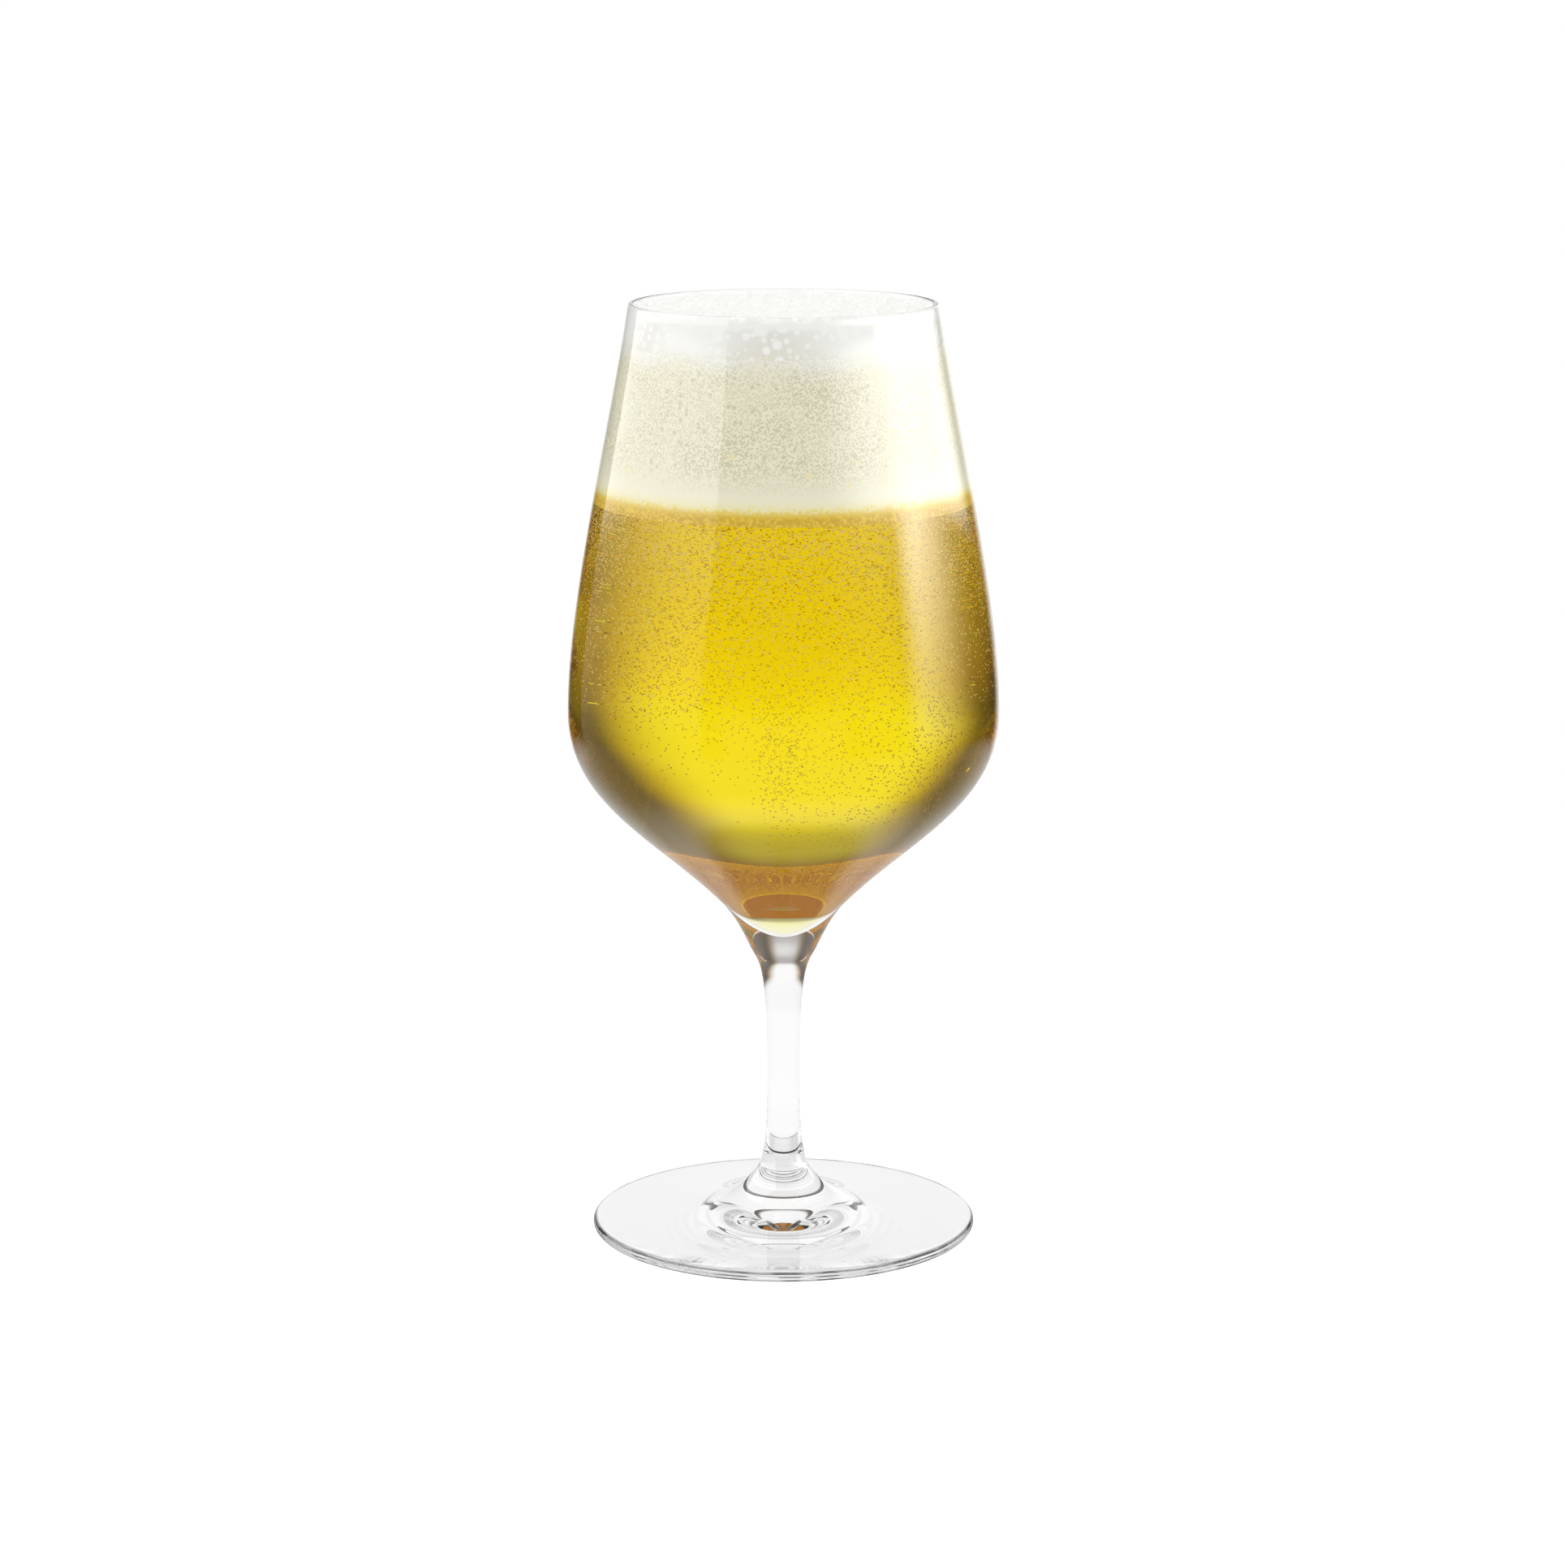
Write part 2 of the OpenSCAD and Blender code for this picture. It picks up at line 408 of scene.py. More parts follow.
def clear_glass(name, ior, ripple, shade_painted_in_mirror=False, painted_lines=False):
    """Polished glass: slow noise bends its normals by a little.

    A foot or stem that is seen from above, in the mirror of the bowl, is given painted shade: its
    glass is tinted dark grey for a mirrored ray that hasn't yet gone into any glass, which stands in
    for the shade of the drink."""
    material, root = new_material(name)
    place = root.node("TexCoord", out="Object")
    relief = {"Height": place.noise(FLOW_SCALE), "Strength": ripple, "Distance": FLOW_DEPTH}
    clear = {"Roughness": 0.0, "IOR": ior, "Transmission Weight": 1.0}
    clear["Normal"] = root.node("Bump", None, relief, "Normal")
    # painted shade: on the foot the glass's colour carries dark grey lines round its edge
    colour = painted_edge_shade_lines(root, place) if painted_lines else WHITE_LIGHT
    surface = root.node("BsdfPrincipled", None, {"Base Color": colour, **clear})
    # painted shade: a dark grey copy of the glass, for mirrored rays that haven't entered glass
    if shade_painted_in_mirror:
        dark = root.node("BsdfPrincipled", None, {"Base Color": PAINTED_MIRROR_SHADE, **clear})
        path = root.node("LightPath", out="Is Glossy Ray")
        surface = path.other("Transmission Depth").blend(path.blend(surface, dark), surface)
    return finished(material, straight_for_soft_light(surface))


def fused_seam():
    """The inside of a hot joint: the glass goes on, so nothing is seen there."""
    material, root = new_material("fused_seam")
    return finished(material, root.node("BsdfTransparent"))


# The stem and the foot get painted shade in the mirror of the bowl.
glass = clear_glass("clear_glass", GLASS_IOR, RIPPLE, shade_painted_in_mirror=True)
bowl_glass = clear_glass("bowl_glass", GLASS_IOR, RIPPLE)
foot_glass = clear_glass("foot_glass", GLASS_IOR, FOOT_RIPPLE, shade_painted_in_mirror=True, painted_lines=True)
wet_glass = clear_glass("wet_glass", GLASS_IOR / BEER_IOR, NO_RIPPLE)
seam = fused_seam()
print("glass finishes:", glass.name, bowl_glass.name, foot_glass.name, wet_glass.name, seam.name)

# %% [markdown]
# ## Foot
# The foot is pressed flat from a gather of hot glass, with a rounded edge, and flares up to the
# stem. It is one profile turned about the axis. The fused seam on top is a disc inside the glass:
# it closes the mesh, and a clear finish keeps it out of sight.

# %% Foot
HOLLOW_STEPS = 24


def foot_profile():
    """From the hollow under the middle, over the rest ring and the round edge, up to the seam."""
    edge_r = FOOT_EDGE / 2
    ring_r = FOOT_R - edge_r - REST_RING
    t = np.linspace(0, 1, HOLLOW_STEPS + 1)
    hollow = np.stack([ring_r * t, FOOT_HOLLOW * (1 - t * t)], 1)
    edge = arc([FOOT_R - edge_r, edge_r], edge_r, -np.pi / 2, np.pi / 2 - FOOT_SLOPE)
    top, end = edge[-1], np.array([FOOT_SEAM_R, FOOT_SEAM_Z])
    slope_line = np.array([-math.cos(FOOT_SLOPE), math.sin(FOOT_SLOPE)])
    out = FOOT_WIDTH_SHARE * (top[0] - end[0]) * slope_line
    up = FOOT_HEIGHT_SHARE * (end[1] - top[1]) * leaning(-FOOT_LEAN)
    slope = cubic([top, top + out, end - up, end], 2 * CURVE_STEPS)
    return np.vstack([hollow, edge, slope[1:], [[0, FOOT_SEAM_Z]]])


points, quads, caps, ring_of = turned(foot_profile())
top_seam = ring_of == ring_of.max()
glass_foot = mesh_piece("glass_foot", points, quads, caps, [foot_glass, seam], top_seam, SHARP)
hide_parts("foot")

# %% [markdown]
# ## Stem
# The stem is drawn from the hot bowl, so it is thinnest at its waist and swells to both ends. Two
# curves that meet upright at the waist give that line with few numbers, where a row of measured
# points would show as waves in the glass.


# %% Stem
def stem_profile():
    """Two curves that meet at the waist, between the two seams."""
    waist = [WAIST_R, WAIST_Z]
    low = rising([FOOT_SEAM_R, FOOT_SEAM_Z], -FOOT_LEAN, waist, 0, WAIST_FROM_FOOT)
    high = rising(waist, 0, [BOWL_SEAM_R, BOWL_SEAM_Z], SEAM_LEAN, WAIST_TO_BOWL)
    return np.vstack([[[0, FOOT_SEAM_Z]], low, high[1:], [[0, BOWL_SEAM_Z]]])


points, quads, caps, ring_of = turned(stem_profile())
ends = (ring_of == 0) | (ring_of == ring_of.max())
glass_stem = mesh_piece("glass_stem", points, quads, caps, [glass, seam], ends, SHARP)
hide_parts("stem")

# %% [markdown]
# ## Bowl
# The bowl is the shape that the glass is named for: a hollow cone, a full belly and a wall that
# draws in to the rim. Its inside is the outside moved in by a wall that is thick on the cone, and
# it ends in a dish over a solid base. Where beer or wet foam lies against it, the light bends only
# by the ratio of the two densities, so the wetted stretch has a finish of its own.


# %% Outside and inside of the bowl
def outside_profile():
    """Seam to cone to belly to rim, as three rising curves, and the half round of the rim."""
    rim_centre = np.array([RIM_R - RIM_WALL / 2, GLASS_H - RIM_WALL / 2])
    rim = rim_centre + RIM_WALL / 2 * np.array([math.cos(RIM_LEAN), math.sin(RIM_LEAN)])
    cone_end, belly_end = [CONE_R, CONE_Z], [BELLY_R, BELLY_Z]
    cone = rising([BOWL_SEAM_R, BOWL_SEAM_Z], SEAM_LEAN, cone_end, CONE_LEAN, SEAM_TO_CONE)
    belly = rising(cone_end, CONE_LEAN, belly_end, 0, CONE_TO_BELLY)
    wall = rising(belly_end, 0, rim, -RIM_LEAN, BELLY_TO_RIM)
    rim_round = arc(rim_centre, RIM_WALL / 2, RIM_LEAN, RIM_LEAN + np.pi)
    return np.vstack([cone, belly[1:], wall[1:]]), rim_round


def inside_profile(outside):
    """The outside moved along its inward normal by the wall at that height, from the bottom up.

    Below the height where the wall is thinnest, it thickens with the square of the depth."""
    along = np.gradient(outside, axis=0)
    inward = np.stack([-along[:, 1], along[:, 0]], 1) / np.linalg.norm(along, axis=1)[:, None]
    z = outside[:, 1]
    below = np.maximum(THIN_Z - z, 0) / (THIN_Z - CONE_Z)
    wall = np.interp(z, [THIN_Z, GLASS_H], [BELLY_WALL, RIM_WALL]) + (CONE_WALL - BELLY_WALL) * below**2
    return (outside + wall[:, None] * inward)[z > BOWL_SEAM_Z + BASE_T]


outside, rim_round = outside_profile()
inside = inside_profile(outside)
BOTTOM_Z = BOWL_SEAM_Z + BASE_T
CORNER_Z = BOTTOM_Z + BOTTOM_DISH


def inside_r(z):
    """The inner radius of the bowl at a height above its bottom corner."""
    return np.interp(z, inside[:, 1], inside[:, 0])


CORNER_R = inside_r(CORNER_Z)
print("inside radius at the belly:", round(inside_r(BELLY_Z) / MM, 2), "mm")

# %% Bowl
DISH_STEPS = 24
DRY, WET, SEAM = 0, 1, 2


def bottom_curve():
    """A cone with a rounded tip: a hyperbola of the radius, which is straight away from the axis."""
    t = np.linspace(0, 1, DISH_STEPS + 1)
    rise = (np.hypot(t, TIP_SHARE) - TIP_SHARE) / (math.hypot(1, TIP_SHARE) - TIP_SHARE)
    return np.stack([CORNER_R * t, BOTTOM_Z + BOTTOM_DISH * rise], 1)


inner_wall = inside[inside[:, 1] > CORNER_Z]
bowl_line = np.vstack(
    [[[0, BOWL_SEAM_Z]], outside, rim_round[1:-1], inner_wall[::-1], bottom_curve()[::-1]]
)
points, quads, caps, ring_of = turned(bowl_line)
inner_start = len(outside) + len(rim_round) - 2
next_z = bowl_line[np.minimum(ring_of + 1, len(bowl_line) - 1), 1]
wetted = (ring_of > inner_start) & (next_z < FROTH_EDGE_Z)
slots = np.where(ring_of == 0, SEAM, np.where(wetted, WET, DRY))
bowl_finishes = [bowl_glass, wet_glass, seam]
glass_bowl = mesh_piece("glass_bowl", points, quads, caps, bowl_finishes, slots, SHARP)
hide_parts("bowl")

# %% [markdown]
# ## Beer
# A pale lager is a clear yellow liquid. Its colour isn't on its surface: blue light is lost on the
# way through, so the thick middle is deep gold and thin places are straw. That is a volume, with
# one density and one colour, inside a closed mesh a hair smaller than the hollow of the bowl.

# %% Beer
BEER_COLOUR, BEER_DENSITY = (0.996, 0.954, 0.02, 1), 70.0


def beer_finish():
    """Clear liquid that takes blue light out of what passes through it."""
    material, root = new_material("pale_beer")
    clear = {"Base Color": WHITE_LIGHT, "Roughness": 0.0, "IOR": 1.0, "Transmission Weight": 1.0}
    surface = root.node("BsdfPrincipled", None, clear)
    depth = root.node("VolumeAbsorption", None, {"Color": BEER_COLOUR, "Density": BEER_DENSITY})
    return finished(material, straight_for_soft_light(surface), depth)


def beer_profile():
    """The inside of the bowl less a thin film, closed by the flat surface under the foam."""
    wall = inner_wall[inner_wall[:, 1] < BEER_Z - FILM] - [FILM, 0]
    dish = bottom_curve() + [0, FILM]
    dish[-1, 0] -= FILM
    edge = [[inside_r(BEER_Z) - FILM, BEER_Z - FILM], [0, BEER_Z - FILM]]
    return np.vstack([dish, wall[wall[:, 1] > dish[-1, 1]], edge])


points, quads, caps, ring_of = turned(beer_profile())
beer_body = mesh_piece("beer_body", points, quads, caps, [beer_finish()], None, SHARP)
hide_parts("beer")

# %% [markdown]
# ## Foam finish
# The head is gas in cells of a millimetre and less, packed so tightly that it looks cream and
# solid. Against the glass the cells show as fine dark pits in pale walls, and larger bubbles show
# as white discs near the rim, where the foam has drained; the grey between those discs is painted
# shade for the hollows between them. Cell patterns at those scales give both, a slow noise lets
# them come and go, and just above the beer the foam is wet, gold and grainy. One finish serves the
# foam and the froth, so that no line shows between them.

# %% Pits, discs and the wet skirt
DISC_SOFT, RARITY_STEP = 0.06, 0.02
SKIRT, WET_RISE, SKIRT_WANDER = 3.4 * MM, 1.6 * MM, 3 * MM
FLECK_GRAIN, FLECK_TOP, BEER_FLECK = (0.35, 0.6), (1 * MM, 3 * MM), (0.68, 0.43, 0.04)
SKIRT_COLOURS = (
    (0.0, (0.85, 0.6, 0.07)),
    (0.22, (0.87, 0.68, 0.17)),
    (0.4, (0.9, 0.8, 0.37)),
    (0.56, (0.91, 0.85, 0.53)),
    (1.0, (0.92, 0.88, 0.67)),
)


def discs(place, scale, size, rarity=None):
    """Round spots as wide as a share of a pattern's cells, in each cell or only in the rare ones."""
    cell = place.cells(scale)
    spots = 1 - cell.between(size - DISC_SOFT, size + DISC_SOFT)
    if rarity is None:
        return spots
    chance = place.node("SeparateColor", None, {0: cell.other("Color")})
    return spots * chance.between(rarity, rarity + RARITY_STEP)


def wet_skirt(above, grain):
    """Gold to straw by the height above the beer, shifted by a grain, with flecks of beer low down."""
    wet = (above - WET_RISE + (grain - 0.5) * SKIRT_WANDER) / SKIRT
    skirt = above.node("ValToRGB", {"stops": SKIRT_COLOURS}, {0: wet})
    fleck = grain.between(*FLECK_GRAIN) * (1 - above.between(*FLECK_TOP))
    return fleck.mix(skirt, BEER_FLECK)


print("the wet skirt is", round((WET_RISE + SKIRT) / MM, 1), "mm high")

# %% Foam finish
GRAIN_SCALE, PATCH_SCALE, PIT_SCALE, FOAM_DETAIL = 1500.0, 75.0, 2300.0, 2.0
CREAM, CELL, WHITE = (0.89, 0.86, 0.66), (0.6, 0.56, 0.37), (0.97, 0.97, 0.94)
YELLOW_CELL, PAINTED_GAP_SHADE = (0.9, 0.82, 0.5), (0.84, 0.83, 0.77)
PIT_RANGE, PATCH_RANGE, PIT_LEVELS = (0.33, 0.6), (0.35, 0.6), (0.4, 0.35)
LOOSE_CELLS, LOOSE_LEVEL, YELLOW_CELLS = (900.0, 0.36, 0.8), 0.7, (420.0, 0.3, 0.86)
SMALL_BUBBLES, LARGE_BUBBLES = (640.0, 0.35), (380.0, 0.36, 0.25)
CELLS_FROM, YELLOW_FROM, YELLOW_TO = (4 * MM, 12 * MM), (5 * MM, 7 * MM), (12 * MM, 15 * MM)
DRAINED_WANDER, DRAINED_FROM = 7 * MM, (FROTH_Z - 5 * MM, FROTH_Z + 4 * MM)
FOAM_ROUGHNESS, FOAM_IOR, FOAM_BUMP, FOAM_DEPTH = 0.4, 1.33, 0.2, 0.2 * MM


def foam_finish():
    """Pale walls round darker pits, gold and grainy at the beer, white with round bubbles on top, and
    painted shade in the gaps between them.
    """
    material, root = new_material("beer_foam")
    place = root.node("TexCoord", out="Object")
    height = root.node("SeparateXYZ", None, {0: place}, "Z")
    above = height - BEER_Z
    grain, patches = place.noise(GRAIN_SCALE, FOAM_DETAIL), place.noise(PATCH_SCALE, FOAM_DETAIL)

    pits = 1 - place.cells(PIT_SCALE).between(*PIT_RANGE)
    strength = PIT_LEVELS[0] + PIT_LEVELS[1] * patches.between(*PATCH_RANGE)
    loose = LOOSE_LEVEL * discs(place, *LOOSE_CELLS)
    cells = (pits * strength).most(loose) * above.between(*CELLS_FROM)

    cream = above.between(SKIRT, 2 * SKIRT).mix(wet_skirt(above, grain), CREAM)
    colour = cells.mix(cream, CELL)
    low = above.between(*YELLOW_FROM) * (1 - above.between(*YELLOW_TO))
    colour = (discs(place, *YELLOW_CELLS) * low).mix(colour, YELLOW_CELL)

    bubbles = discs(place, *SMALL_BUBBLES).most(discs(place, *LARGE_BUBBLES))
    drained = (height + (patches - 0.5) * DRAINED_WANDER).between(*DRAINED_FROM)
    gaps = root.node("Attribute", {"attribute_name": "open"}, out="Fac")
    # painted shade: where the froth is open, the gaps between bubbles are a grey for the shade in the
    # hollows
    froth = (gaps * (1 - bubbles)).mix(WHITE, PAINTED_GAP_SHADE)
    colour = drained.most(bubbles * gaps).mix(colour, froth)

    relief = {"Height": (1 - cells) + bubbles * drained, "Strength": FOAM_BUMP, "Distance": FOAM_DEPTH}
    wet = {"Base Color": colour, "Roughness": FOAM_ROUGHNESS, "IOR": FOAM_IOR}
    wet["Normal"] = root.node("Bump", None, relief, "Normal")
    return finished(material, root.node("BsdfPrincipled", None, wet))


foam = foam_finish()
print("foam finish:", foam.name)

# %% [markdown]
# ## Foam
# The foam is a plug that fills the bowl from the beer to the froth. Its side follows the inside of
# the glass, and its underside, which is seen through the beer in the mirror of the wall, is painted
# brown: painted light that stands in for the brown light that comes up through the drink.

# %% Foam
# The first colour is painted light: brown for the light that comes up through the beer.
PAINTED_UNDERSIDE_LIGHT, UNDERSIDE_DIM, UNDERSIDE_ROUGHNESS = (0.72, 0.39, 0.13), 0.9, 0.6
UNDERSIDE_SCALE, UNDERSIDE_CELLS = 700.0, (0.1, 0.6)


def underside_finish():
    """The wet face on the beer: painted brown light, with a cell pattern a shade darker."""
    material, root = new_material("foam_underside")
    cells = root.node("TexCoord", out="Object").cells(UNDERSIDE_SCALE)
    dim = tuple(UNDERSIDE_DIM * c for c in PAINTED_UNDERSIDE_LIGHT)
    colour = cells.between(*UNDERSIDE_CELLS).mix(PAINTED_UNDERSIDE_LIGHT, dim)
    wet = {"Base Color": colour, "Roughness": UNDERSIDE_ROUGHNESS, "IOR": FOAM_IOR}
    return finished(material, root.node("BsdfPrincipled", None, wet))


def foam_profile():
    """The foam fills the bowl from the beer to the froth."""
    z = np.linspace(BEER_Z, FROTH_Z, 2 * CURVE_STEPS)
    side = np.stack([inside_r(z) - FILM, z], 1)
    return np.vstack([[[0, BEER_Z]], side, [[0, FROTH_Z]]])


points, quads, caps, ring_of = turned(foam_profile())
foam_finishes = [foam, underside_finish()]
foam_body = mesh_piece("foam_body", points, quads, caps, foam_finishes, ring_of == 0, SHARP)
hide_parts("foam_head")

# %% [markdown]
# ## Froth
# On top, the foam has drained and its cells have grown to bubbles of a few millimetres. Seen from
# above they are domes that shoulder each other. The top is one height map: at each place it is as
# high as the highest dome there, over a crown that is a little higher in the middle. The side lies
# flush against the glass, and its bubbles are drawn by the finish in a few places where the froth
# is open.

# %% Shape of the froth
FROTH_TURNS, SIDE_RINGS, TOP_RINGS = 400, 40, 150
OVER_RIM = 1 * MM


def froth_base():
    """The shape under the bubbles: a side against the glass, then a low crown to the axis.

    Returns the rings' (r, z) from the bottom edge over the top edge inwards."""
    z = np.linspace(FROTH_Z, FROTH_EDGE_Z, SIDE_RINGS)
    side = np.stack([inside_r(z) - FILM, z], 1)
    edge_r = side[-1, 0]
    r = np.linspace(edge_r, 0, TOP_RINGS)[1:-1]
    top = np.stack([r, FROTH_EDGE_Z + CROWN_RISE * (1 - (r / edge_r) ** 2)], 1)
    return np.vstack([side, top])


def ring_normals(rings):
    """The outward direction at each ring: across the line from the ring before to the one after."""
    along = np.gradient(rings, axis=0)
    return np.stack([along[:, 1], -along[:, 0]], 1) / np.linalg.norm(along, axis=1)[:, None]


def with_bubbles(points, outward, centres, sizes, sinks):
    """Moves each point of the top outwards to the highest sphere that stands over it."""
    lift = np.zeros(len(points))
    for centre, size, sink in zip(centres, sizes, sinks):
        gap = ((points - centre) ** 2).sum(1)
        lift = np.maximum(lift, np.sqrt(np.maximum(size**2 - gap, 0)) - sink)
    lift[: SIDE_RINGS * FROTH_TURNS] = 0
    return points + lift[:, None] * outward


def kept_inside(points):
    """Draws points in to the inside of the glass, and down to just over the rim."""
    away = np.hypot(points[:, 0], points[:, 1])
    limit = np.minimum(inside_r(points[:, 2]) - FILM, away)
    x, y = (points[:, :2] * (limit / away)[:, None]).T
    return np.stack([x, y, np.minimum(points[:, 2], GLASS_H + OVER_RIM)], 1)


froth_rings = froth_base()
print("froth of", len(froth_rings), "rings")

# %% Froth
DOMES, DOME_R_MM, DOME_SINK = 620, (0.7, 1.9), (0.2, 0.7)
OPEN_PATCHES = np.array([(-4, 19), (75, 18), (160, 15), (215, 22), (300, 11)])
OPEN_FADE = (5, 5.5)
SEED = 7
rng = np.random.default_rng(SEED)


def open_places(points):
    """How open the froth is: a bell round each patch's bearing, which fades towards the rim."""
    turn = np.degrees(np.arctan2(points[:, 0], -points[:, 1]))
    off = (turn[:, None] - OPEN_PATCHES[:, 0] + 180) % 360 - 180
    bells = np.exp(-((off / OPEN_PATCHES[:, 1]) ** 2)).max(1)
    rise = (points[:, 2] - FROTH_Z) / (FROTH_EDGE_Z - FROTH_Z)
    return bells * np.clip(OPEN_FADE[0] - OPEN_FADE[1] * rise, 0, 1)


base = ring_points(froth_rings, FROTH_TURNS)
outward = ring_points(ring_normals(froth_rings), FROTH_TURNS)
weight = np.repeat(froth_rings[:, 0], FROTH_TURNS)
centres = base[rng.choice(len(base), DOMES, p=weight / weight.sum())]
sizes = rng.uniform(*DOME_R_MM, DOMES) * MM
domed = kept_inside(with_bubbles(base, outward, centres, sizes, rng.uniform(*DOME_SINK, DOMES) * sizes))
points = np.vstack([domed, [[0, 0, FROTH_Z], [0, 0, FROTH_EDGE_Z + CROWN_RISE]]])
quads, caps = ring_faces(len(froth_rings), FROTH_TURNS)
froth_crown = mesh_piece("froth_crown", points, quads, caps, [foam], None, SHARP)
gaps = froth_crown.data.attributes.new("open", "FLOAT", "POINT")
gaps.data.foreach_set("value", np.append(open_places(base), [0, 0]).astype(np.float32))
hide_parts("froth")

# %% [markdown]
# ## Gas in the beer
# Gas comes out of the beer as beads on the wall, a few tenths of a millimetre across, fine and
# dense under the foam and scattered lower down. A bead is a hole in the liquid, so its edge mirrors
# and its middle shows what is behind it. The finest can't be seen through and only look bright: they
# are an opaque gold, painted light for the light of the beer that they gather. One icosahedron is
# repeated at seeded places, because a rounder shape would cost many more faces.

# %% One bead
GOLDEN = (1 + math.sqrt(5)) / 2
NEIGHBOUR = 1.2


def icosahedron():
    """Three golden rectangles at right angles give its 12 corners; each face joins three near ones."""
    signs = np.array(list(itertools.product((-1, 1), (-1, 1))), float)
    p = np.stack([signs[:, 0], signs[:, 1] * GOLDEN, 0 * signs[:, 0]], 1)
    corners = np.vstack([p, p[:, [2, 0, 1]], p[:, [1, 2, 0]]]) / math.sqrt(1 + GOLDEN**2)
    near = np.linalg.norm(corners[:, None] - corners[None], axis=2) < NEIGHBOUR
    triples = np.array(list(itertools.combinations(range(len(corners)), 3)))
    i, j, k = triples.T
    faces = triples[near[i, j] & near[j, k] & near[i, k]]
    a, b, c = (corners[faces[:, n]] for n in range(3))
    inward = np.einsum("ij,ij->i", np.cross(b - a, c - a), a + b + c) < 0
    faces[inward] = faces[inward][:, ::-1]
    return corners, faces


corners, sides = icosahedron()
print("a bead has", len(sides), "faces")

# %% Bead finishes
# The gold of the finest beads is painted light, not a colour of the gas.
PAINTED_BEAD_LIGHT, BRIGHT_ROUGHNESS, BRIGHT_IOR = (0.85, 0.65, 0.19, 1), 0.3, 1.33


def bead_finish():
    """A hole full of gas: seen from the liquid, light bends the other way."""
    material, root = new_material("gas_bead")
    clear = {"Color": WHITE_LIGHT, "Roughness": 0.0, "IOR": 1 / BEER_IOR}
    return finished(material, straight_for_soft_light(root.node("BsdfGlass", None, clear)))


def bright_bead_finish():
    """A bead too fine to see through: an opaque gold, painted light that stands in for the light of the
    beer round it.
    """
    material, root = new_material("bright_bead")
    fine = {"Base Color": PAINTED_BEAD_LIGHT, "Roughness": BRIGHT_ROUGHNESS, "IOR": BRIGHT_IOR}
    return finished(material, root.node("BsdfPrincipled", None, fine))


gas, bright_gas = bead_finish(), bright_bead_finish()
print("bead finishes:", gas.name, bright_gas.name)

# %% Beads on the wall
FRONT = -np.pi / 2
BEAD_GAP = 1.05
LOWEST_BEAD_Z, HIGHEST_BEAD_Z = 78 * MM, BEER_Z - 1 * MM
NO_QUADS = np.zeros((0, 4), int)


def beads(name, finish, angle, z, size):
    """Icosahedra against the wall: centre = the wall's radius less the bead's own, at an angle."""
    away = inside_r(z) - size * BEAD_GAP - 2 * FILM
    centre = np.stack([away * np.cos(angle), away * np.sin(angle), z], 1)
    points = (centre[:, None] + size[:, None, None] * corners[None]).reshape(-1, 3)
    tris = (sides[None] + len(corners) * np.arange(len(z))[:, None, None]).reshape(-1, 3)
    piece = mesh_piece(name, points, NO_QUADS, tris, [finish])
    return piece


def scattered(count, low, high, lean):
    """Angles all round, and heights that crowd towards the top as lean grows."""
    angle = rng.uniform(0, 2 * np.pi, count)
    z = low + (high - low) * rng.uniform(0, 1, count) ** (1 / lean)
    return angle, z


def clustered(groups):
    """Beads that gather where the wall is scratched.

    Each group has a count, a bearing and its spread in degrees, a height and its spread in mm."""
    angle = [
        rng.normal(FRONT + math.radians(turn), math.radians(spread), n)
        for n, turn, spread, z, rise in groups
    ]
    height = [rng.normal(z, rise, n) * MM for n, turn, spread, z, rise in groups]
    return np.concatenate(angle), np.clip(np.concatenate(height), LOWEST_BEAD_Z, HIGHEST_BEAD_Z)


SCATTERED = (
    ("gas_beads_high", gas, 9000, 112 * MM, BEER_Z - 0.25 * MM, 1.5, (0.1, 0.18)),
    ("gas_beads_bright", bright_gas, 9500, 108 * MM, BEER_Z - 0.2 * MM, 1.7, (0.1, 0.19)),
    ("gas_beads_fine", bright_gas, 9500, 132 * MM, BEER_Z - 0.1 * MM, 2, (0.08, 0.15)),
    ("gas_beads_even", gas, 5000, 96 * MM, 140 * MM, 1.6, (0.1, 0.18)),
)
CLUSTERS = (
    (420, 0, 4, 104, 8),
    (620, 28, 15, 97, 9),
    (360, 48, 8, 104, 10),
    (900, -38, 18, 122, 9),
    (700, 20, 30, 118, 10),
)
CLUSTER_R_MM = (0.12, 0.22)
for name, finish, count, low, high, lean, r_mm in SCATTERED:
    angle, z = scattered(count, low, high, lean)
    beads(name, finish, angle, z, rng.uniform(*r_mm, count) * MM)
angle, z = clustered(CLUSTERS)
beads("gas_beads_gathered", gas, angle, z, rng.uniform(*CLUSTER_R_MM, len(z)) * MM)

# %% [markdown]
# ## Studio
# Glass has no look of its own, only that of its surroundings, so the studio is painted on the world
# by bearing and rise, in degrees. What is seen through the drink is a pale backdrop with warm, soft
# edges in a dim room, and two more backdrops serve the views from behind and from the side. Cards
# and lamps could be built instead, but a painted studio has no noise and is moved by one number.

# %% Bearing and rise
RISE_LOW, RISE_HIGH = -40, 50
DEGREES = 180 / math.pi


def bearing_and_rise(root):
    """The direction that a ray of the world looks in: round from straight back, and up."""
    x = root.node("SeparateXYZ", None, {0: root.node("TexCoord", out="Generated")}, "X")
    bearing = root.math("ARCTAN2", x, x.other("Y")) * DEGREES
    return bearing, root.math("ARCSINE", x.other("Z")) * DEGREES


def by_rise(rise, stops):
    """A colour or a grey level that changes with the rise, in straight lines between the stops."""
    spread = RISE_HIGH - RISE_LOW
    colours = [c if isinstance(c, tuple) else (c, c, c) for at, c in stops]
    places = [(at - RISE_LOW) / spread for at, c in stops]
    return rise.node("ValToRGB", {"stops": list(zip(places, colours))}, {0: (rise - RISE_LOW) / spread})


print("rises from", RISE_LOW, "to", RISE_HIGH, "degrees")

